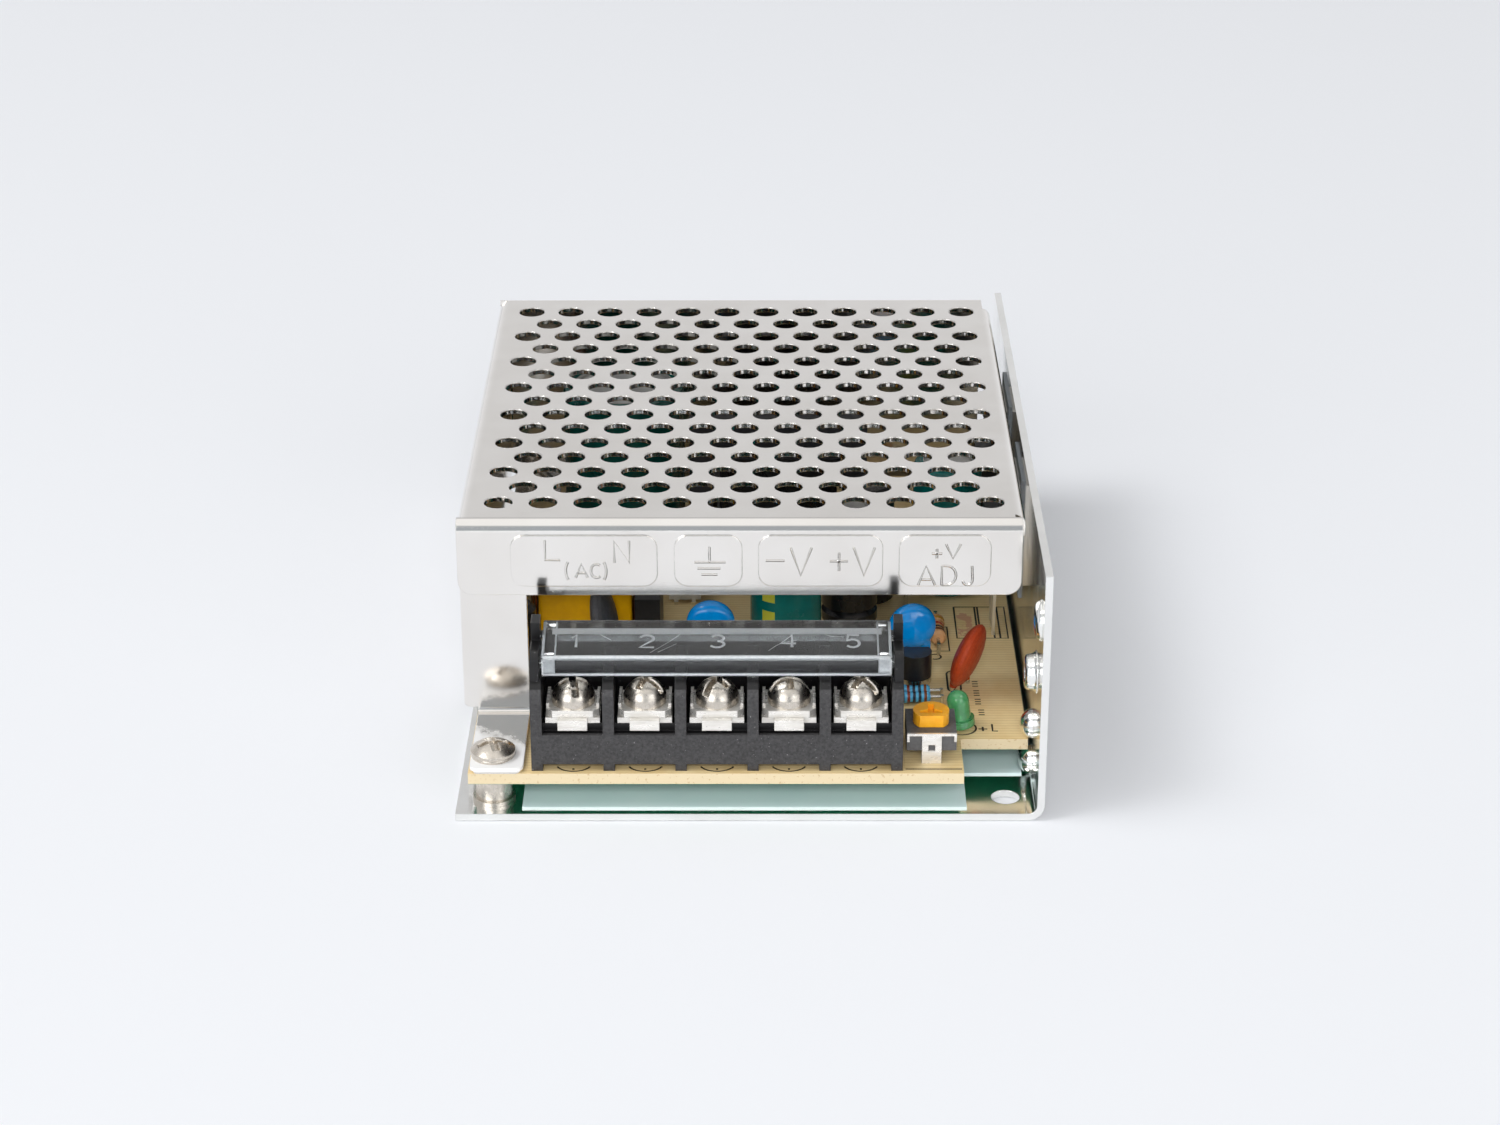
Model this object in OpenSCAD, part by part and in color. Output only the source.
// Enclosed switching power supply: folded chassis and perforated cover, circuit board
// with its parts, and a five-way screw terminal block under a clear hinged lid.
// Origin under the middle of the base, +Z up, terminals at the front (-Y).

/* [Case] */
// Width of the case across the terminal end
case_w = 78; // [76:1:88]
// Depth of the case from the terminal end to the back
case_d = 105; // [103:1:119]
// Height of the case over the cover
case_h = 36; // [35.5:0.5:42]
// Thickness of the chassis sheet
chassis_t = 1; // [0.8:0.1:1.2]
// Outside radius of the chassis bend
chassis_bend_r = 2.2; // [1.8:0.1:2.6]
// Step from the top of the cover down to the top of the chassis wall
wall_drop = 0.4; // [0.2:0.1:1.5]
// Diameter of the two fixing holes in the base
base_hole_d = 3.8; // [3:0.1:4.4]
// Distance of the base holes and board pillars from the sides of the case
fix_inset_x = 4.9; // [4.6:0.1:5.4]
// Distance of the base holes and the front pillar from the ends of the case
fix_inset_y = 4.6; // [4.4:0.1:5.2]
// Bore of the tapped side fixing holes
side_hole_d = 2.5; // [2:0.1:3]
// Outside diameter of the drawn collars round the side holes
collar_d = 4.4; // [4:0.1:5]
// How far the collars stand in from the chassis wall
collar_h = 1.3; // [0.8:0.1:1.6]
// Height of the side holes above the underside
side_hole_z = 17.5; // [15:0.5:20]
// Distance of the side holes from the ends of the case
side_hole_inset = 9; // [8:0.5:10]
// Height of the half-sheared locating button near the front of the wall
button_h = 0.6; // [0.4:0.1:0.9]
// Radius of the stamped pips that grip the edge of the board
pip_r = 2.1; // [1.9:0.1:2.3]
// Distance of the pips from the notches in the board
pip_inset = 0.8; // [0.6:0.1:2.5]

/* [Cover] */
// Thickness of the cover sheet
cover_t = 0.8; // [0.6:0.1:1]
// Outside radius of the cover's folds
cover_bend_r = 1.5; // [1.2:0.1:1.7]
// Distance of the cover's front lip from the front edge of the chassis
cover_setback = 16.4; // [15.4:0.1:18]
// Distance of the cover's back from the back edge of the chassis
cover_inset = 2.9; // [2:0.1:4]
// Height of the front lip
lip_h = 10.7; // [10:0.1:11.2]
// How far the lip stops short of the cover's right edge
lip_trim = 0.5; // [0.3:0.1:0.8]
// Radius of the lip's lower corners
lip_corner_r = 2; // [1:0.1:3]
// Gap between the cover's right edge and the chassis wall
cover_gap = 1.2; // [0.8:0.1:1.6]
// Height of the short flange on the cover's right edge
right_flange_h = 3.2; // [2.2:0.1:4]
// Width of the flange folded round at the front left
front_flange_w = 9.1; // [8.6:0.1:9.6]
// Width of the screwed tabs at the ends of the cover
tab_w = 7.1; // [6.8:0.1:7.6]
// Length of the raised bottom edge at the front of the cover's left wall
raised_edge_len = 16; // [10:1:25]
// Height of the raised panels on the lip
panel_h = 7.4; // [6:0.1:8]
// How far the panels stand proud of the lip
panel_proud = 0.3; // [0.2:0.05:0.4]
// Diameter of the ventilation holes
vent_d = 4.05; // [3:0.05:4.4]
// Pitch of the ventilation holes along a row
vent_pitch = 6; // [5.4:0.1:7]
// Shift of the ventilation holes to the right of the cover's middle
vent_shift = 0.35; // [0:0.05:0.6]
// Length of the relief where the right flange stops before the cover's back
corner_relief = 5; // [4:0.5:6]
// Least land between the holes and the cover's edges
vent_margin = 2.2; // [1.8:0.1:3]

/* [Board] */
// Thickness of the circuit board
board_t = 1.6; // [1.2:0.1:2]
// Height of the pillars under the board
pillar_h = 4; // [3.7:0.1:4.6]
// Diameter of the pillars
pillar_d = 4.9; // [4.4:0.1:5.4]
// Diameter of the pillars' feet
pillar_foot_d = 5.7; // [5.5:0.1:6]
// Distance of the board's front edge from the chassis' front edge
board_inset = 0.9; // [0.6:0.1:1.4]
// Depth of the notches in the board over the base holes
notch_d = 9.7; // [9:0.1:10.5]
// Thickness of the insulating film
film_t = 0.25; // [0.2:0.05:0.4]
// Diameter of the board screws' heads
board_screw_head_d = 6; // [5.4:0.1:6.4]

/* [Terminal block] */
// Pitch of the terminals
tb_pitch = 9.5; // [9.2:0.1:10]
// Thickness of the block's walls
tb_wall = 1.5; // [1.3:0.1:1.8]
// Depth of the block
tb_depth = 10.4; // [10.2:0.1:11]
// Height of the front sill over the board
sill_h = 5.3; // [5:0.1:5.8]
// Height of the feet that hold the sill clear of the board
foot_h = 1; // [0.6:0.1:1.4]
// Height of the partitions over the board
partition_h = 12.6; // [12.2:0.1:12.9]
// Radius of the partitions' upper front corner
nose_r = 2.5; // [1.5:0.1:3]
// Rise of the end ears over the partitions
ear_rise = 3.6; // [3.3:0.1:3.8]
// Rise of the hinge posts over the ears
post_rise = 2.5; // [2:0.1:3.5]
// Thickness of the contact plates
contact_t = 0.8; // [0.6:0.1:1]
// Thickness of the clamp plates
clamp_t = 1; // [0.8:0.1:1.2]
// Diameter of the terminal screws' heads
screw_head_d = 5.6; // [5.2:0.1:6]
// Height of the terminal screws' heads
screw_head_h = 3; // [2.6:0.1:3.2]
// Diameter of the terminal screws' shanks
screw_d = 3; // [2.6:0.1:3.2]
// Wall of the clear lid
lid_wall = 1.2; // [1:0.1:1.4]
// Diameter of the lid's hinge pins
hinge_pin_d = 1.5; // [1.2:0.1:1.6]

/* [Trimmer] */
// Width of the trimmer's body
trimmer_w = 6.6; // [6:0.1:7]
// Diameter of the trimmer's rotor
rotor_d = 4.8; // [4.4:0.1:5.2]
// Height of the rotor over the body
rotor_h = 1.7; // [1.4:0.1:2]

/* [Board parts] */
// Diameter of the bulk capacitor
bulk_d = 18; // [16:0.5:19]
// Height of the bulk capacitor
bulk_h = 25; // [20:0.5:26]
// Diameter of the two sleeved output capacitors
output_cap_d = 10; // [8:0.5:10.5]
// Height of the two sleeved output capacitors
output_cap_h = 20; // [16:0.5:22]
// Diameter of the blue disc capacitors
disc_d = 6.8; // [6:0.1:7.5]
// Width of the transformer's core
core_w = 26; // [22:0.5:28]
// Height of the transformer's core
core_h = 21; // [18:0.5:23]

/* [Hidden] */
$fn = 48;

// Case planes
left = -case_w / 2;
front = -case_d / 2;
wall_in = case_w / 2 - chassis_t;
wall_top = case_h - wall_drop;
base_top = chassis_t;
board_z = base_top + pillar_h;
board_top = board_z + board_t;
seat = 0.02;
loose = 0.1;

// Cover planes
lip_y = front + cover_setback;
back = case_d / 2;
cover_rear = back - cover_inset;
cover_right = wall_in - cover_gap;
cover_w = cover_right - left;
lip_w = cover_w - lip_trim;
back_right = cover_right - 1.2;
cover_d = cover_rear - lip_y;
cover_foot_z = base_top + 0.05;
lip_z = case_h - lip_h;
flange_y = lip_y + cover_t + 0.1;
flange_right = left + front_flange_w;
tab_x = flange_right - tab_w;
tab_bend_r = cover_t + 0.6;
flange_z = board_top + tab_bend_r;
vent_row = vent_pitch * sqrt(3) / 2;
vent_cols = floor((cover_w - 2 * vent_margin - vent_d) / vent_pitch) + 1;
vent_rows = floor((cover_d - 2 * vent_margin - vent_d) / vent_row) + 1;
panel_z = lip_z + 1.4;
// Start and width of each raised panel, from the lip's left end
panels = [[7.2, 19.5], [29, 9], [40.2, 16.5], [58.9, 12.2]];

// Board planes
board_left = left + 1.8;
board_right = wall_in - 0.6;
board_front = front + board_inset;
board_back = cover_rear - 2;
fix_x = left + fix_inset_x;
front_fix_y = front + fix_inset_y;
back_fix_y = cover_rear - fix_inset_y - 2.4;
hole_x = -left - fix_inset_x;
hole_ys = [front + fix_inset_y, cover_rear - fix_inset_y];
pip_ys = [board_front + notch_d + pip_inset, board_back - notch_d - pip_inset];
board_screw_d = 3;

// Terminal block planes
tb_ways = 5;
tb_left = flange_right + 1.1;
tb_right = tb_left + tb_ways * tb_pitch + tb_wall;
tb_front = front + 1.6;
tb_back = tb_front + tb_depth;
tb_rear_wall = 1.5;
tb_screen = 0.6;
bay_w = tb_pitch - tb_wall;
screw_y = tb_front + 4.4;
sill_z = board_top + sill_h;
sill_ledge = 1.4;
contact_z = sill_z + 1.1;
clamp_z = contact_z + contact_t + seat;
head_z = clamp_z + clamp_t + seat;
plate_w = bay_w - 0.8;
plate_d = 7;
shank_len = 6;
ear_t = tb_wall - 0.3;
ear_h = partition_h + ear_rise;
post_h = ear_h + post_rise;
ear_y0 = tb_front + 1.6;
ear_y1 = tb_front + 6.2;
post_y1 = tb_back - 1.5;
hinge_y = post_y1 - 1.35;
hinge_z = board_top + ear_h;
lid_gap = 0.4;
lid_left = tb_left + ear_t + lid_gap;
lid_right = tb_right - ear_t - lid_gap;
lid_front = tb_front + 1.9;
lid_back = tb_back - 1.1;
lid_z = board_top + partition_h + 0.45;
notch_x = tb_right + 8.1;

// Trimmer planes
trimmer_x = tb_right + 3.9;
trimmer_y = tb_front + 2.4;
trimmer_z = board_top + 1.8;
trimmer_t = 2.6;
trimmer_d = trimmer_w + 0.4;
rotor_y = trimmer_y + trimmer_d / 2 - 0.2;
rotor_seat = 0.05;

// Wall devices
pad_t = 0.3;
device_face = wall_in - pad_t;
device_drop = 20.6;
device_z = case_h - device_drop;
device_t = 4.5;
device_w = 10;
tab_t = 1.3;
rectifier_y = front + 45.4;
transistor_y = front + 72.5;
lead_pitch = 2.54;
device_hole_z = device_z + 12.6;

// Places of the mains-side parts, from the left and front edges of the case
fuse_at = [left + 7, front + 26.5];
thermistor_at = [left + 19.1, front + 25];
x_capacitor_at = [left + 16.1, front + 33.9];
bridge_at = [left + 24.8, front + 35.8];
left_disc_at = [left + 33.5, front + 30.5];
line_choke_at = [left + 15, front + 49];
optocoupler_at = [left + 29.4, front + 56.5];
bulk_at = [left + 20, front + 76];
transformer_at = [left + 43, front + 66.5];
front_output_at = [left + 44, front + 38];
control_chip_at = [left + 36, cover_rear - 12];
clamp_diodes_at = [[left + 48, cover_rear - 14], [left + 48, cover_rear - 7.5]];

// Places of the output-side parts, from the chassis wall and the front or back edge
led_at = [wall_in - 9.4, front + 14];
film_resistors_at = [[wall_in - 15.5, front + 20.9], [wall_in - 15.5, front + 22.8]];
reference_at = [wall_in - 15.2, front + 26.6];
ceramic_at = [wall_in - 9.8, front + 25];
right_disc_at = [wall_in - 15.4, front + 33];
front_carbon_at = [wall_in - 11.4, front + 41.3];
standing_resistor_at = [wall_in - 15.4, front + 52.4];
black_capacitor_at = [wall_in - 23.8, front + 47];
output_choke_at = [wall_in - 21, front + 55.2];
rear_output_at = [wall_in - 9.4, front + 59];
rear_carbon_at = [wall_in - 18.5, cover_rear - 10.75];

// Outline of a rectangle with round corners
function round_rect(w, h, r, n = 6) = [
    for (c = [[w - r, h - r, 0], [r, h - r, 90], [r, r, 180], [w - r, r, 270]], i = [0 : n])
        [c[0] + r * cos(c[2] + 90 * i / n), c[1] + r * sin(c[2] + 90 * i / n)]];

// Extrudes a profile drawn in X and Z from y0 to y1
module along_y(y0, y1) {
    translate([0, y1, 0]) rotate([90, 0, 0]) linear_extrude(y1 - y0) children();
}

// Extrudes a profile drawn in Y and Z from x0 to x1
module along_x(x0, x1) {
    translate([x0, 0, 0]) rotate([90, 0, 90]) linear_extrude(x1 - x0) children();
}

// Section of a fold: a quarter ring in the quadrant that sx and sy give
module fold(r, t, sx, sy) {
    intersection() {
        difference() {
            circle(r);
            circle(r - t);
        }
        translate([sx < 0 ? -r : 0, sy < 0 ? -r : 0]) square(r);
    }
}

// Stands children on the board
module on_board(place, dz = 0) {
    translate([place[0], place[1], board_top + dz]) children();
}

// Round lead standing on the board
module lead(x, y, h, d = 0.6) {
    translate([x, y, 0]) cylinder(d = d, h = h, $fn = 16);
}

// Cylinder along X
module rod_x(x0, x1, d) {
    translate([x0, 0, 0]) rotate([0, 90, 0]) cylinder(d = d, h = x1 - x0);
}

module chassis_section() {
    translate([left, 0]) square([case_w - chassis_bend_r, chassis_t]);
    translate([wall_in, chassis_bend_r]) square([chassis_t, wall_top - chassis_bend_r]);
    translate([-left - chassis_bend_r, chassis_bend_r]) fold(chassis_bend_r, chassis_t, 1, -1);
}

// Dome pressed in from the chassis wall
module wall_pip(y, z, r, proud) {
    translate([wall_in, y, z]) intersection() {
        translate([r - proud, 0, 0]) sphere(r);
        translate([-proud, -r, -r]) cube([proud + chassis_t / 2, 2 * r, 2 * r]);
    }
}

module chassis() {
    pip_proud = 1.8;
    pip_reach = sqrt(pip_r * pip_r - pow(board_right - wall_in - pip_r + pip_proud, 2)) + 0.05;
    color("gainsboro") difference() {
        union() {
            along_y(front, back) chassis_section();
            for (y = [front + side_hole_inset, back - side_hole_inset])
                translate([0, y, side_hole_z])
                    rod_x(wall_in - collar_h, wall_in + chassis_t / 2, collar_d);
            for (y = pip_ys) {
                wall_pip(y, board_top + pip_reach, pip_r, pip_proud);
                wall_pip(y, board_z - pip_reach, pip_r, pip_proud);
            }
            translate([0, front + 4, case_h - 8.5])
                rod_x(wall_in - button_h, wall_in + chassis_t / 2, collar_d);
        }
        for (y = hole_ys)
            translate([hole_x, y, -1]) cylinder(d = base_hole_d, h = chassis_t + 2);
        for (y = [front + side_hole_inset, back - side_hole_inset])
            translate([0, y, side_hole_z])
                rod_x(wall_in - collar_h - 1, -left + 1, side_hole_d);
        for (y = [rectifier_y, transistor_y])
            translate([0, y, device_hole_z]) rod_x(wall_in - 1, -left + 1, board_screw_d + loose);
    }
}

module vent_plate() {
    x0 = left + cover_bend_r;
    y0 = lip_y + cover_bend_r;
    difference() {
        union() {
            translate([x0, y0])
                square([cover_w - 2 * cover_bend_r, cover_d - 2 * cover_bend_r]);
            translate([x0, cover_rear - corner_relief])
                square([back_right - x0, corner_relief - cover_bend_r]);
        }
        for (row = [0 : vent_rows - 1])
            for (col = [0 : vent_cols - 1 - row % 2])
                translate([
                    left + cover_w / 2 + vent_shift + (col - (vent_cols - 1 - row % 2) / 2) * vent_pitch,
                    lip_y + cover_d / 2 + (row - (vent_rows - 1) / 2) * vent_row])
                    circle(d = vent_d, $fn = 32);
    }
}

// Front lip with round lower corners and raised panels
module cover_lip() {
    h = lip_h - cover_bend_r;
    along_y(lip_y, lip_y + cover_t) {
        translate([left, lip_z]) polygon(round_rect(lip_w, h - 1, lip_corner_r));
        translate([left, lip_z + lip_corner_r]) square([lip_w, h - lip_corner_r]);
    }
    for (p = panels)
        along_y(lip_y - panel_proud, lip_y + cover_t / 2)
            translate([left + p[0], panel_z]) polygon(round_rect(p[1], panel_h, 1.8));
}

// Hollows behind the raised panels, so that the sheet keeps its thickness
module panel_hollows() {
    inset = cover_t / 2;
    for (p = panels)
        along_y(lip_y + cover_t - panel_proud, lip_y + cover_t + 1)
            translate([left + p[0] + inset, panel_z + inset])
                polygon(round_rect(p[1] - 2 * inset, panel_h - 2 * inset, 1.8 - inset));
}

// Left wall with the flange folded round behind the lip
module cover_side() {
    r = cover_bend_r;
    wall_y0 = flange_y + r;
    along_x(left, left + cover_t) {
        translate([wall_y0, flange_z])
            square([cover_rear - r - wall_y0, case_h - r - flange_z]);
        translate([wall_y0 + raised_edge_len, cover_foot_z])
            square([cover_rear - r - wall_y0 - raised_edge_len, case_h - r - cover_foot_z]);
    }
    along_y(lip_y + r, cover_rear - r)
        translate([left + r, case_h - r]) fold(r, cover_t, -1, 1);
    translate([left + r, wall_y0, flange_z])
        linear_extrude(case_h - 3 - flange_z) fold(r, cover_t, -1, -1);
    translate([left + r, flange_y, flange_z])
        cube([front_flange_w - r, cover_t, case_h - 3 - flange_z]);
}

// Tab that lies on the board and is screwed down, folded forward from the sheet at y
module screwed_tab(y, tip) {
    fold_y = y + cover_t - tab_bend_r;
    difference() {
        union() {
            along_x(tab_x, flange_right)
                translate([fold_y, board_top + tab_bend_r]) fold(tab_bend_r, cover_t, 1, -1);
            translate([tab_x, tip, board_top]) linear_extrude(cover_t) {
                polygon(round_rect(tab_w, fold_y - tip, 1.2));
                translate([0, fold_y - tip - 3]) square([tab_w, 3]);
            }
        }
        for (fy = [front_fix_y, back_fix_y])
            translate([fix_x, fy, board_top - 1]) cylinder(d = board_screw_d + 0.4, h = 4);
    }
}

// Back wall, open at the corner where its tab folds in
module cover_back() {
    r = cover_bend_r;
    along_y(cover_rear - cover_t, cover_rear) {
        translate([flange_right, cover_foot_z])
            square([back_right - flange_right, case_h - r - cover_foot_z]);
        translate([left + r, flange_z])
            square([back_right - left - r, case_h - r - flange_z]);
    }
    translate([left + r, cover_rear - r, flange_z])
        linear_extrude(case_h - r - flange_z) fold(r, cover_t, -1, 1);
}

module cover() {
    r = cover_bend_r;
    relief = 1;
    color("silver") difference() {
        union() {
            translate([0, 0, case_h - cover_t]) linear_extrude(cover_t) vent_plate();
            cover_lip();
            along_x(left, left + lip_w)
                translate([lip_y + r, case_h - r]) fold(r, cover_t, -1, 1);
            along_x(left, back_right)
                translate([cover_rear - r, case_h - r]) fold(r, cover_t, 1, 1);
            along_y(lip_y + r + relief, cover_rear - corner_relief) {
                translate([cover_right - r, case_h - r]) fold(r, cover_t, 1, 1);
                translate([cover_right - cover_t, case_h - right_flange_h])
                    square([cover_t, right_flange_h - r]);
            }
            cover_side();
            cover_back();
            screwed_tab(flange_y, board_front - 0.1);
            screwed_tab(cover_rear - cover_t, back_fix_y - 4.6);
        }
        panel_hollows();
    }
}

// Board outline, notched at the right where the base holes are
module board_outline(x0, x1, y0, y1, nx, depth) {
    difference() {
        translate([x0, y0]) square([x1 - x0, y1 - y0]);
        translate([nx, y0 - 1]) square([x1 - nx + 1, depth + 1]);
        translate([nx, y1 - depth]) square([x1 - nx + 1, depth + 1]);
    }
}

module insulating_film() {
    x0 = fix_x + pillar_foot_d / 2 + 1.05;
    color([0.75, 0.88, 0.88, 0.7]) translate([0, 0, base_top]) linear_extrude(film_t)
        board_outline(x0, -left - chassis_bend_r - 0.1, board_front + 0.5, board_back - 0.5,
            notch_x + 0.5, notch_d - 0.2);
}

module circuit_board() {
    color("burlywood") difference() {
        translate([0, 0, board_z]) linear_extrude(board_t)
            board_outline(board_left, board_right, board_front, board_back, notch_x, notch_d);
        for (y = [front_fix_y, back_fix_y])
            translate([fix_x, y, board_z - 1]) cylinder(d = board_screw_d + 0.4, h = board_t + 2);
    }
}

module board_pillars() {
    foot_t = 0.6;
    color("lightgray") for (y = [front_fix_y, back_fix_y])
        translate([fix_x, y, base_top]) difference() {
            union() {
                cylinder(d = pillar_d, h = pillar_h);
                cylinder(d = pillar_foot_d, h = foot_t);
            }
            translate([0, 0, pillar_h - 3.5]) cylinder(d = board_screw_d + loose, h = 4);
        }
}

// Pan head with a cross recess, standing on z = 0, one arm of the cross cut to a given length
module pan_head(d, h, turn = 45, arm = 0.62) {
    dome = h * 0.65;
    r = (d * d / 4 + dome * dome) / (2 * dome);
    slot = 0.9;
    difference() {
        intersection() {
            cylinder(d = d, h = h);
            translate([0, 0, h - r]) sphere(r);
        }
        for (a = [[turn, arm, 0.52], [turn + 90, 0.62, 0.45]])
            rotate(a[0]) translate([-d * a[1] / 2, -slot / 2, h * a[2]]) cube([d * a[1], slot, h]);
    }
}

module board_screws() {
    washer_t = 0.5;
    top = board_top + cover_t;
    color("silver") for (y = [front_fix_y, back_fix_y]) translate([fix_x, y, top]) {
        cylinder(d = board_screw_head_d - 0.3, h = washer_t);
        translate([0, 0, washer_t]) pan_head(board_screw_head_d, 1.7);
        translate([0, 0, -cover_t - board_t - 3])
            cylinder(d = board_screw_d, h = cover_t + board_t + 3.2);
    }
}

function screw_x(i) = tb_left + tb_wall / 2 + tb_pitch * (i - 0.5);

// Side outline of a partition, with its round upper front corner
module partition_outline(h) {
    translate([tb_front, board_top]) square([tb_depth, h - nose_r]);
    translate([tb_front + nose_r, board_top]) square([tb_depth - nose_r, h]);
    translate([tb_front + nose_r, board_top + h - nose_r]) circle(nose_r);
}

// Ear that the lid snaps between and post that carries its hinge pin
module ear_outline() {
    ear_r = 1.6;
    translate([ear_y0, board_top + 2]) square([ear_y1 - ear_y0, ear_h - ear_r - 2]);
    translate([ear_y0 + ear_r, board_top + 2]) square([ear_y1 - ear_y0 - ear_r, ear_h - 2]);
    translate([ear_y0 + ear_r, board_top + ear_h - ear_r]) circle(ear_r);
    translate([ear_y1, board_top + 2]) square([post_y1 - ear_y1, post_h - 2]);
}

module terminal_block() {
    pocket_z = board_top + foot_h + 0.8;
    color([0.2, 0.2, 0.2]) difference() {
        union() {
            translate([tb_left, tb_front, board_top + foot_h])
                cube([tb_right - tb_left, tb_depth, sill_h - foot_h]);
            translate([tb_left, tb_front + sill_ledge, sill_z - 1])
                cube([tb_right - tb_left, tb_depth - sill_ledge, contact_z - sill_z + 1]);
            translate([tb_left, tb_back - tb_rear_wall, board_top + foot_h])
                cube([tb_right - tb_left, tb_rear_wall, partition_h - 2.4 - foot_h]);
            translate([tb_left, tb_back - tb_screen, board_top + foot_h])
                cube([tb_right - tb_left, tb_screen, ear_h - 0.8 - foot_h]);
            for (i = [0 : tb_ways])
                along_x(tb_left + i * tb_pitch, tb_left + i * tb_pitch + tb_wall)
                    partition_outline(partition_h);
            along_x(tb_left, tb_left + ear_t) ear_outline();
            along_x(tb_right - ear_t, tb_right) ear_outline();
        }
        for (i = [1 : tb_ways]) {
            translate([screw_x(i), screw_y, pocket_z]) cylinder(d = screw_d + 0.8, h = 20);
            translate([screw_x(i) - contact_pin_w / 2 - loose, pin_y - loose, board_top - 1])
                cube([contact_pin_w + 2 * loose, contact_t + 2 * loose, 20]);
        }
        translate([0, hinge_y, hinge_z])
            rod_x(tb_left - 1, tb_right + 1, hinge_pin_d + 0.1);
    }
}

contact_pin_w = 2.4;
pin_y = tb_back - tb_rear_wall - contact_t - 0.3;

// Contact plates with a tongue folded down in front and a pin to the board behind
module terminal_contacts() {
    tongue_w = 3.9;
    tongue_h = 1.5;
    plate_y0 = tb_front + sill_ledge - contact_t;
    color("silver") for (i = [1 : tb_ways]) translate([screw_x(i), 0, 0]) difference() {
        union() {
            translate([-plate_w / 2, plate_y0 + contact_t, contact_z])
                cube([plate_w, pin_y - plate_y0, contact_t]);
            translate([-tongue_w / 2, plate_y0 - loose, contact_z + contact_t - tongue_h])
                cube([tongue_w, contact_t, tongue_h]);
            translate([-tongue_w / 2, plate_y0, contact_z])
                cube([tongue_w, 2 * contact_t, contact_t]);
            translate([-contact_pin_w / 2, pin_y, board_top])
                cube([contact_pin_w, contact_t, contact_z - board_top + contact_t / 2]);
        }
        translate([0, screw_y, contact_z - 1]) cylinder(d = screw_d + loose, h = contact_t + 2);
    }
}

// Clamp plate under a terminal screw, its side edges turned up
module clamp_plate(i) {
    w = plate_w - 0.2;
    d = plate_d - 0.8;
    corner = 0.8;
    rim = (w - screw_head_d) / 2 - 0.3;
    color("lightgray") translate([screw_x(i), screw_y, clamp_z]) difference() {
        union() {
            linear_extrude(clamp_t) polygon([
                [-w / 2, corner - d / 2], [corner - w / 2, -d / 2], [w / 2 - corner, -d / 2],
                [w / 2, corner - d / 2],
                [w / 2, d / 2], [-w / 2, d / 2]]);
            for (x = [-w / 2, w / 2 - rim])
                translate([x, 1.2 - d / 2, 0]) cube([rim, d - 1.2, clamp_t + 0.5]);
        }
        translate([0, 0, -1]) cylinder(d = screw_d + loose, h = clamp_t + 2);
    }
}

// Directions in which the five screws' slots were left
slot_turns = [-79, -26, 53, 8, -35];

module terminal_screw(i) {
    color("silver") translate([screw_x(i), screw_y, head_z]) {
        pan_head(screw_head_d, screw_head_h, slot_turns[i - 1], 1.1);
        translate([0, 0, -shank_len]) cylinder(d = screw_d, h = shank_len + 0.2);
    }
}

// Side outline of the lid, grown inwards by a wall
module lid_outline(wall) {
    rise = 1.65;
    top = lid_z + 2.9;
    polygon([
        [lid_front + wall, lid_z - (wall > 0 ? 3 : 0)],
        [lid_front + wall, top - 0.5 - wall],
        [lid_front + wall + 0.5, top - wall],
        [lid_back - wall, top + rise - wall],
        [lid_back - wall, lid_z + (wall > 0 ? -3 : 2.1)],
        [lid_front + 4, lid_z - (wall > 0 ? 3 : 0)]]);
}

module terminal_lid() {
    cheek = lid_wall + 0.3;
    bump_d = 1.6;
    color([0.85, 0.88, 0.9, 0.4]) {
        difference() {
            along_x(lid_left, lid_right) lid_outline(0);
            along_x(lid_left + cheek, lid_right - cheek) lid_outline(lid_wall);
        }
        translate([0, hinge_y, hinge_z]) {
            rod_x(tb_left + 0.1, lid_left + cheek / 2, hinge_pin_d);
            rod_x(lid_right - cheek / 2, tb_right - 0.1, hinge_pin_d);
        }
        translate([0, lid_front + 1.5, lid_z + 1.35]) {
            rod_x(lid_left - lid_gap + 0.1, lid_left + cheek / 2, bump_d);
            rod_x(lid_right - cheek / 2, lid_right + lid_gap - 0.1, bump_d);
        }
    }
}

module trimmer_body() {
    color([0.3, 0.3, 0.32]) translate([trimmer_x, trimmer_y, trimmer_z]) difference() {
        translate([-trimmer_w / 2, 0, 0]) cube([trimmer_w, trimmer_d, trimmer_t]);
        translate([0, rotor_y - trimmer_y, -1]) cylinder(d = 1.6, h = trimmer_t + 2);
    }
}

// Adjusting rotor: a disc with one flat, an arrow slot and a stem through the body
module trimmer_rotor() {
    flat = rotor_d * 0.38;
    color("orange") translate([trimmer_x, rotor_y, trimmer_z + trimmer_t + rotor_seat]) {
        difference() {
            intersection() {
                cylinder(d = rotor_d, h = rotor_h);
                translate([-rotor_d / 2, -flat, 0]) cube([rotor_d, rotor_d, rotor_h]);
            }
            translate([0, 0, rotor_h - 0.9]) linear_extrude(2) polygon([
                [-0.4, rotor_d * 0.36], [0.4, rotor_d * 0.36], [0.4, 0.2], [1.5, -0.3],
                [1.5, -0.9], [-1.5, -0.9], [-1.5, -0.3], [-0.4, 0.2]]);
        }
        translate([0, 0, -trimmer_t * 0.7]) cylinder(d = 1.5, h = trimmer_t * 0.7 + 0.1);
    }
}

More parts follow.
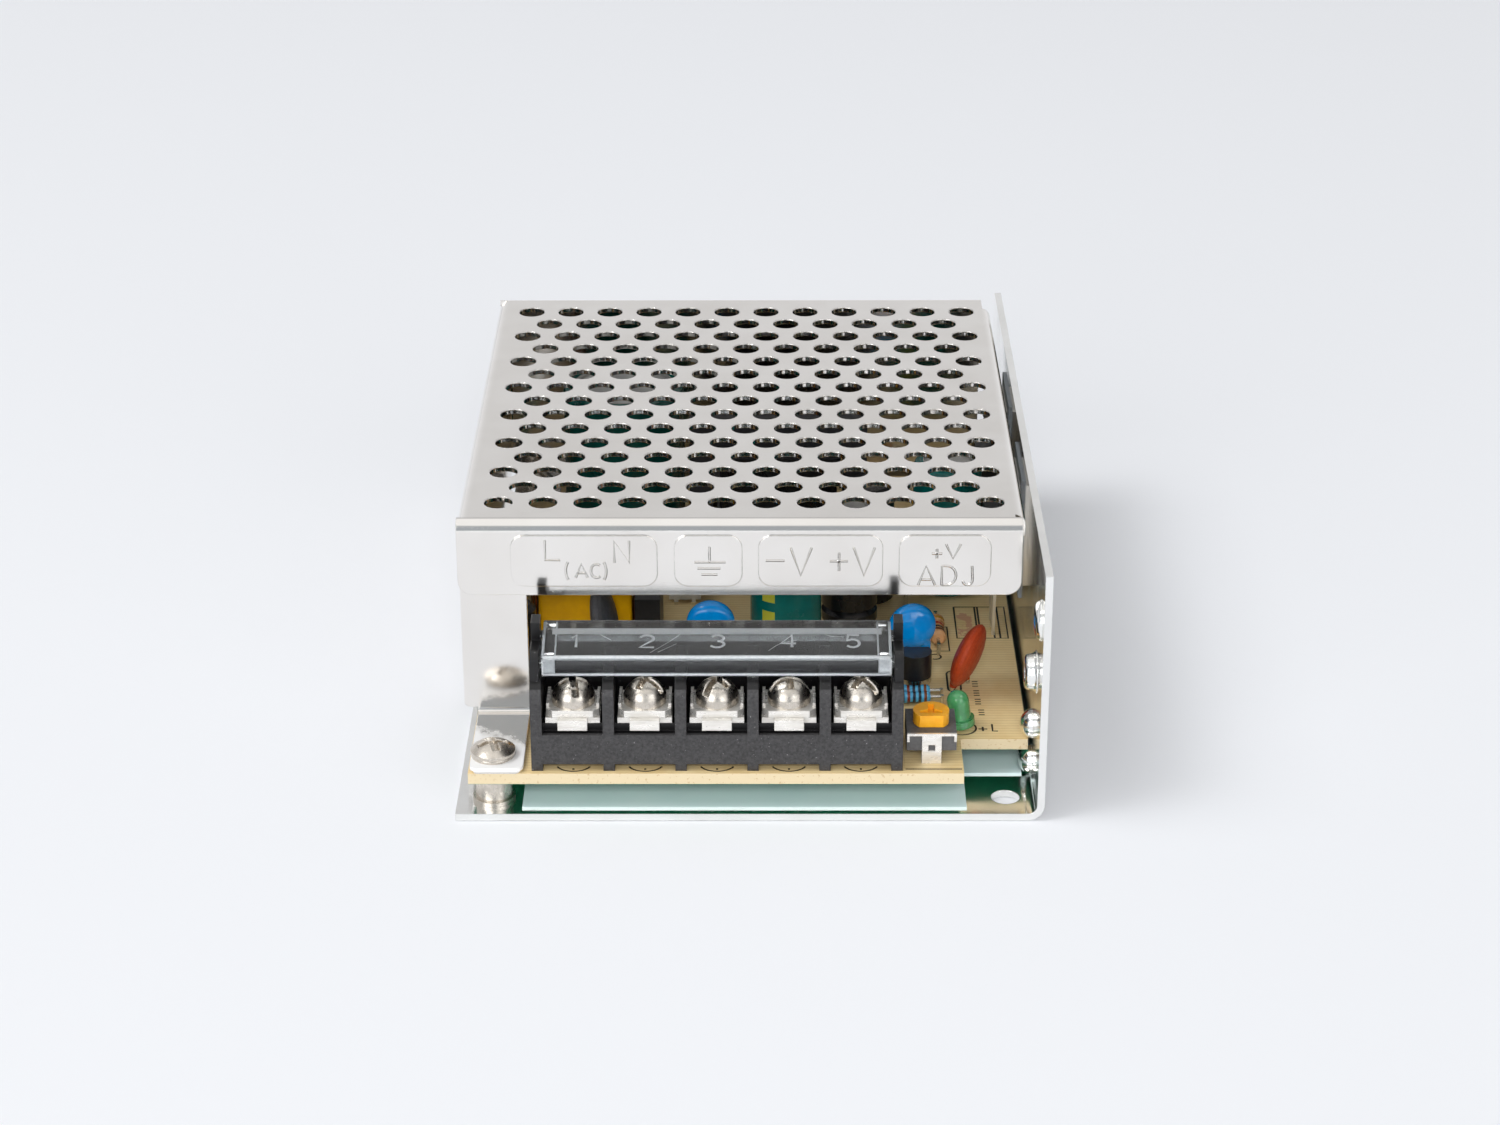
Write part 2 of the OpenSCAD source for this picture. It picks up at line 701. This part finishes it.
// Front strap with a square window and two hooks, and two rear legs
module trimmer_legs() {
    leg_t = 0.35;
    strap_w = 2.6;
    window = 0.9;
    top = trimmer_z + trimmer_t - board_top;
    color("gainsboro") translate([trimmer_x, trimmer_y, board_top]) {
        difference() {
            translate([-strap_w / 2, -leg_t, 0]) cube([strap_w, leg_t, top]);
            translate([-window / 2, -leg_t - 1, top * 0.42]) cube([window, leg_t + 2, window]);
        }
        translate([-trimmer_w / 2, -leg_t, top - 0.35]) cube([trimmer_w, leg_t, 0.35]);
        for (x = [-trimmer_w / 2, trimmer_w / 2 - leg_t])
            translate([x, -leg_t, top - 1.2]) cube([leg_t, leg_t, 1.2]);
        for (x = [-2.5, 2.5])
            translate([x - 0.4, trimmer_d - 1, 0]) cube([0.8, 0.4, trimmer_z - board_top]);
    }
}

module indicator_led() {
    lens_d = 3;
    lens_h = 3.6;
    lean = -9;
    color([0.2, 0.6, 0.35, 0.8]) on_board(led_at) {
        translate([0, 0, 0.5]) rotate([0, lean, 0]) {
            cylinder(d = lens_d + 0.8, h = 1);
            cylinder(d = lens_d, h = lens_h);
            translate([0, 0, lens_h]) sphere(d = lens_d);
        }
        lead(-1.1, 0, 1);
        lead(1.1, 0, 1);
    }
}

// Box with its upright edges rounded
module round_box(w, d, h, r) {
    translate([-w / 2, -d / 2, 0]) linear_extrude(h) polygon(round_rect(w, d, r));
}

module x_capacitor() {
    w = 13;
    stand = 0.4;
    color("goldenrod") on_board(x_capacitor_at) {
        translate([0, 0, stand]) round_box(w, 6.4, 13, 0.6);
        for (x = [-5, 5]) lead(x, 0, stand + 0.1, 0.8);
    }
}

// Disc with a full round rim, standing on edge and facing along Y
module coated_disc(d, t) {
    rotate([90, 0, 0]) translate([0, 0, -t / 2]) rotate_extrude() {
        square([d / 2 - t / 2, t]);
        intersection() {
            translate([d / 2 - t / 2, t / 2]) circle(d = t);
            translate([d / 2 - t / 2, 0]) square(t);
        }
    }
}

// Disc part on two coated legs, centre at height z
module disc_part(d, t, z, leg_gap) {
    translate([0, 0, z]) coated_disc(d, t);
    for (x = [-leg_gap / 2, leg_gap / 2]) {
        lead(x, 0, z);
        translate([x, 0, z - d / 2 - 1]) cylinder(d1 = 0.9, d2 = t * 0.8, h = 2);
    }
}

// Disc that thins towards its rim, standing on edge and facing along Y
module lens_disc(d, t) {
    rotate([90, 0, 0]) rotate_extrude()
        polygon([for (a = [-90 : 15 : 90]) [d / 2 * cos(a), t / 2 * sin(a)]]);
}

module thermistor() {
    color([0.25, 0.25, 0.26]) on_board(thermistor_at) {
        translate([0, 0, 10.5]) rotate([0, -12, 0]) rotate(85) lens_disc(11.5, 3);
        for (y = [-2.5, 2.5]) lead(0.75, y, 7);
    }
}

module sleeved_fuse() {
    d = 5.2;
    color([0.1, 0.1, 0.1]) on_board(fuse_at) {
        translate([0, 0, 0.6]) cylinder(d = d, h = 11.4);
        translate([0, 0, 12]) cylinder(d1 = d, d2 = d - 1.6, h = 0.8);
        lead(0, 0, 0.8, 0.8);
    }
}

choke_r = 7;
choke_bore = 3.6;
choke_t = 6;
winding_t = 1;

module line_choke_frame() {
    on_board(line_choke_at, winding_t + 0.3) children();
}

module line_choke_core() {
    color([0.2, 0.25, 0.2]) line_choke_frame() rotate_extrude()
        translate([choke_bore, 0]) square([choke_r - choke_bore, choke_t]);
}

// Two half windings wrapped round the ring core, each on its two legs
module line_choke_windings() {
    span = 140;
    w = winding_t;
    color("chocolate") line_choke_frame() for (turn = [20, 200]) {
        rotate(turn) rotate_extrude(angle = span) difference() {
            translate([choke_bore - w, -w])
                square([choke_r - choke_bore + 2 * w, choke_t + 2 * w]);
            translate([choke_bore, 0]) square([choke_r - choke_bore, choke_t]);
        }
        for (a = [turn + 10, turn + span - 10])
            rotate(a) translate([choke_r + w / 2, 0, -winding_t - 0.3]) cylinder(d = 0.8, h = 2);
    }
}

module bridge_rectifier() {
    stand = 1.8;
    color([0.12, 0.12, 0.12]) on_board(bridge_at) {
        translate([-1.75, -7.2, stand]) cube([3.5, 14.4, 10.4]);
        for (i = [-1.5 : 1.5]) lead(0, i * 3.8, stand + 0.1, 0.8);
    }
}

// Electrolytic can: crimp groove near the foot and a shallow rim round the top
module electrolytic(d, h) {
    r = d / 2;
    groove = 0.5;
    stand = 0.3;
    translate([0, 0, stand]) rotate_extrude() polygon([
        [0, 0], [r - 0.6, 0], [r, 0.6], [r, 2], [r - groove, 2.5], [r, 3],
        [r, h - 0.9], [r - 0.3, h - 0.3], [r - 0.9, h], [r - 1.5, h - 0.1],
        [r - 1.6, h - 0.4], [0, h - 0.4]]);
    for (x = [-d / 4, d / 4]) lead(x, 0, stand + 0.1, 0.7);
}

module bulk_capacitor() {
    color("darkgreen") on_board(bulk_at) electrolytic(bulk_d, bulk_h);
}

module front_output_capacitor() {
    color("teal") on_board(front_output_at) electrolytic(output_cap_d, output_cap_h);
}

module rear_output_capacitor() {
    color("teal") on_board(rear_output_at) electrolytic(output_cap_d, output_cap_h);
}

module black_capacitor() {
    color([0.12, 0.12, 0.13]) on_board(black_capacitor_at) electrolytic(8, 18);
}

module output_choke() {
    color([0.1, 0.1, 0.1]) on_board(output_choke_at) {
        translate([0, 0, 0.5]) cylinder(d = 7.6, h = 17);
        translate([0, 0, 17.5]) cylinder(d1 = 7.6, d2 = 6.2, h = 0.8);
        for (x = [-2.2, 2.2]) lead(x, 0, 0.6, 0.9);
    }
}

// Transformer: E cores on a bobbin, the winding taped round the middle leg
core_d = 7;
core_leg = 7;
core_yoke = 3.4;
bobbin_foot = 3;
bobbin_wall = 0.8;

module transformer_frame() {
    on_board(transformer_at, bobbin_foot) children();
}

module transformer_core() {
    window_w = (core_w - core_leg) / 2 - core_yoke;
    color([0.22, 0.22, 0.24]) transformer_frame() difference() {
        translate([-core_w / 2, -core_d / 2, 0]) cube([core_w, core_d, core_h]);
        for (x = [core_leg / 2, -core_leg / 2 - window_w])
            translate([x, -core_d, core_yoke])
                cube([window_w, 2 * core_d, core_h - 2 * core_yoke]);
    }
}

coil_w = core_w - 2 * core_yoke - 1;
coil_d = core_d + 9;

module transformer_bobbin() {
    gap = 0.1;
    h = core_h - 2 * core_yoke - 2 * gap;
    color([0.15, 0.15, 0.15]) transformer_frame() {
        translate([0, 0, core_yoke + gap]) difference() {
            union() {
                round_box(coil_w, coil_d, bobbin_wall, 1);
                translate([0, 0, h - bobbin_wall]) round_box(coil_w, coil_d, bobbin_wall, 1);
                round_box(core_leg + 2 * bobbin_wall, core_d + 2 * bobbin_wall, h, 0.5);
            }
            translate([-core_leg / 2 - gap, -core_d / 2 - gap, -1])
                cube([core_leg + 2 * gap, core_d + 2 * gap, h + 2]);
        }
        for (y = [-coil_d / 2, coil_d / 2 - 3]) {
            translate([-coil_w / 2, y, 1 - bobbin_foot])
                cube([coil_w, 3, core_yoke + bobbin_foot - 1 + gap + bobbin_wall / 2]);
            for (x = [-7.5 : 5 : 7.5])
                translate([x, y + 1.5, -bobbin_foot]) cylinder(d = 0.8, h = 1.2);
        }
    }
}

module transformer_winding() {
    gap = 0.1;
    z0 = core_yoke + bobbin_wall + 2 * gap;
    h = core_h - 2 * core_yoke - 2 * bobbin_wall - 4 * gap;
    inner = 2 * bobbin_wall + gap;
    color([0.12, 0.12, 0.12]) transformer_frame() translate([0, 0, z0]) difference() {
        round_box(coil_w - 1, coil_d - 1, h, 3);
        translate([-(core_leg + inner) / 2, -(core_d + inner) / 2, -1])
            cube([core_leg + inner, core_d + inner, h + 2]);
    }
}

// Flat-tabbed power device held to the chassis wall by its tab
module wall_device(y) {
    body_h = 9.2;
    tab_h = 6.2;
    lead_x = device_face - 3;
    color([0.15, 0.15, 0.15]) translate([0, y, 0]) {
        translate([device_face - device_t, -device_w / 2, device_z])
            cube([device_t, device_w, body_h]);
        difference() {
            translate([device_face - tab_t, -device_w / 2, device_z + body_h - 0.5])
                cube([tab_t, device_w, tab_h + 0.5]);
            translate([0, 0, device_hole_z])
                rod_x(device_face - tab_t - 1, device_face + 1, board_screw_d + 0.6);
        }
        for (i = [-1 : 1]) translate([lead_x - 0.25, i * lead_pitch, 0]) {
            translate([0, -0.4, board_top]) cube([0.5, 0.8, device_z - board_top + 0.5]);
            translate([0, -0.65, device_z - 3.4]) cube([0.5, 1.3, 3.6]);
        }
    }
}

module switching_transistor() {
    wall_device(transistor_y);
}

module output_rectifier() {
    wall_device(rectifier_y);
}

module device_pads() {
    w = device_w + 4;
    color("lightsteelblue") for (y = [rectifier_y, transistor_y]) difference() {
        translate([device_face, y - w / 2, device_z - 1]) cube([pad_t, w, 18]);
        translate([0, y, device_hole_z])
            rod_x(device_face - 1, device_face + 1, board_screw_d + 0.6);
    }
}

module device_screws() {
    color("silver") for (y = [rectifier_y, transistor_y])
        translate([device_face - tab_t, y, device_hole_z]) {
            rotate([0, -90, 0]) pan_head(5.5, 2);
            rod_x(-0.2, -left - device_face + tab_t, board_screw_d);
        }
}

module left_disc_capacitor() {
    color("dodgerblue") on_board(left_disc_at) disc_part(disc_d, 3.2, 7.7, 4);
}

module right_disc_capacitor() {
    color("dodgerblue") on_board(right_disc_at) rotate(12) disc_part(disc_d, 3.2, 6, 4);
}

module ceramic_capacitor() {
    color("sienna") on_board(ceramic_at) {
        translate([-0.3, 0, 0.2]) rotate([0, 18, 0]) {
            translate([0.4, 0, 5.6]) rotate(69) lens_disc(9.4, 3.2);
            cylinder(d1 = 0.8, d2 = 2.4, h = 3.4);
        }
        lead(-0.3, 0, 1.2);
        lead(2, 2.33, 3.6);
    }
}

module reference_transistor() {
    r = 2.3;
    stand = 0.8;
    body_h = 4.5;
    color([0.1, 0.1, 0.1]) on_board(reference_at) {
        translate([0, 0, stand]) intersection() {
            cylinder(r = r, h = body_h);
            translate([-r, -r, 0]) cube([2 * r, r + 1.3, body_h]);
        }
        for (x = [-1.27, 0, 1.27]) lead(x, 0, stand + 0.1, 0.5);
    }
}

// Axial part along X: body waisted between two domed ends, leads bent down to the board
module axial(body_len, d, span, z) {
    lead_d = 0.55;
    r = d / 2;
    half = body_len / 2;
    translate([0, 0, z]) {
        rotate([0, 90, 0]) rotate_extrude() polygon([
            [0, -half], [r * 0.7, -half], [r, -half + r * 0.4], [r, -half + r * 1.2],
            [r * 0.86, -half + r * 1.7], [r * 0.86, half - r * 1.7],
            [r, half - r * 1.2], [r, half - r * 0.4], [r * 0.7, half], [0, half]]);
        rod_x(-span / 2, -half + 0.2, lead_d);
        rod_x(half - 0.2, span / 2, lead_d);
    }
    for (x = [-span / 2, span / 2]) lead(x, 0, z + lead_d / 2, lead_d);
}

module film_resistors() {
    color("steelblue") {
        for (at = film_resistors_at) on_board(at) axial(4.4, 1.7, 7.6, 1.1);
        on_board(standing_resistor_at) {
            translate([0, 0, 3]) cylinder(d = 2, h = 5.4);
            lead(0, 0, 3.1);
        }
    }
}

module carbon_resistors() {
    color("tan") {
        on_board(front_carbon_at) rotate(90) axial(6.3, 2.3, 10.5, 1.5);
        on_board(rear_carbon_at) axial(6.3, 2.3, 10.5, 1.5);
    }
}

// Moulded chip with two rows of legs folded down to the board
module dual_inline(w, d, h, legs) {
    stand = 0.5;
    leg_x = 3.8;
    translate([-w / 2, -d / 2, stand]) cube([w, d, h]);
    for (i = [0 : legs / 2 - 1], s = [-1, 1]) {
        y = (i - (legs / 2 - 1) / 2) * 2.54;
        translate([s > 0 ? w / 2 - 0.2 : -leg_x - 0.25, y - 0.6, stand + h / 2])
            cube([leg_x + 0.25 - w / 2 + 0.2, 1.2, 0.25]);
        translate([s * leg_x - 0.25 * (s > 0 ? 0 : 1), y - 0.3, 0])
            cube([0.25, 0.6, stand + h / 2 + 0.25]);
    }
}

module optocoupler() {
    color([0.85, 0.85, 0.82]) on_board(optocoupler_at) rotate(90) dual_inline(6.4, 4.6, 3.5, 4);
}

module control_chip() {
    color([0.12, 0.12, 0.12]) on_board(control_chip_at) rotate(90) dual_inline(6.4, 9.6, 3.4, 8);
}

module clamp_diodes() {
    color([0.12, 0.12, 0.12]) for (at = clamp_diodes_at) on_board(at) axial(5.4, 2.7, 10, 1.7);
}

chassis();
cover();
insulating_film();
circuit_board();
board_pillars();
board_screws();
terminal_block();
terminal_contacts();
terminal_lid();
clamp_plate(1);  // clamp_plate_1
clamp_plate(2);  // clamp_plate_2
clamp_plate(3);  // clamp_plate_3
clamp_plate(4);  // clamp_plate_4
clamp_plate(5);  // clamp_plate_5
terminal_screw(1);  // terminal_screw_1
terminal_screw(2);  // terminal_screw_2
terminal_screw(3);  // terminal_screw_3
terminal_screw(4);  // terminal_screw_4
terminal_screw(5);  // terminal_screw_5
trimmer_body();
trimmer_rotor();
trimmer_legs();
indicator_led();
x_capacitor();
thermistor();
sleeved_fuse();
line_choke_core();
line_choke_windings();
bridge_rectifier();
bulk_capacitor();
transformer_core();
transformer_bobbin();
transformer_winding();
switching_transistor();
output_rectifier();
device_pads();
device_screws();
front_output_capacitor();
rear_output_capacitor();
black_capacitor();
output_choke();
left_disc_capacitor();
right_disc_capacitor();
ceramic_capacitor();
reference_transistor();
film_resistors();
carbon_resistors();
optocoupler();
control_chip();
clamp_diodes();
